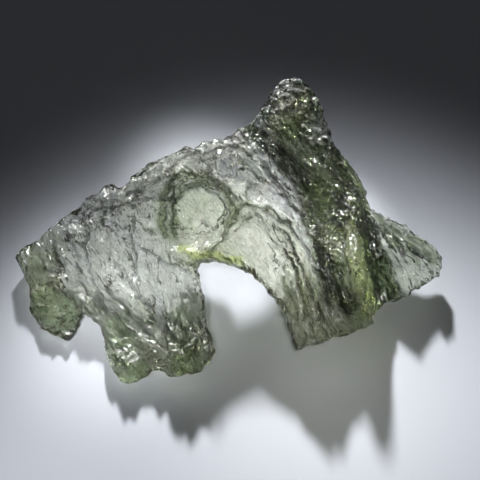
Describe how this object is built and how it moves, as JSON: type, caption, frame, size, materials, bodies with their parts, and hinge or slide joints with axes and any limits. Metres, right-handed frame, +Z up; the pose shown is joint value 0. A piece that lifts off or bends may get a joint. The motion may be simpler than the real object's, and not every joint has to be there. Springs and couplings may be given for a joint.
{
  "type": "moldavite",
  "caption": "Etched shard of clear grey-green natural glass: a thin bent plate with a bay between two legs, a bubble bowl, a tall peak and a small right lobe, lying on its feet.",
  "frame": {"origin": "middle of the footprint, on the surface that the shard lies on", "axes": "+X from the low left tip to the right lobe, +Y from the legs towards the peak, +Z up; -Z runs down out of the flat feet"},
  "size_m": [0.0346, 0.0248, 0.0085],
  "materials": {
    "green_glass": "clear grey-green natural glass with a finely etched, grooved and pitted skin that sparkles"
  },
  "bodies": {
    "root": {"moldavite": "green_glass"}
  },
  "joints": []
}
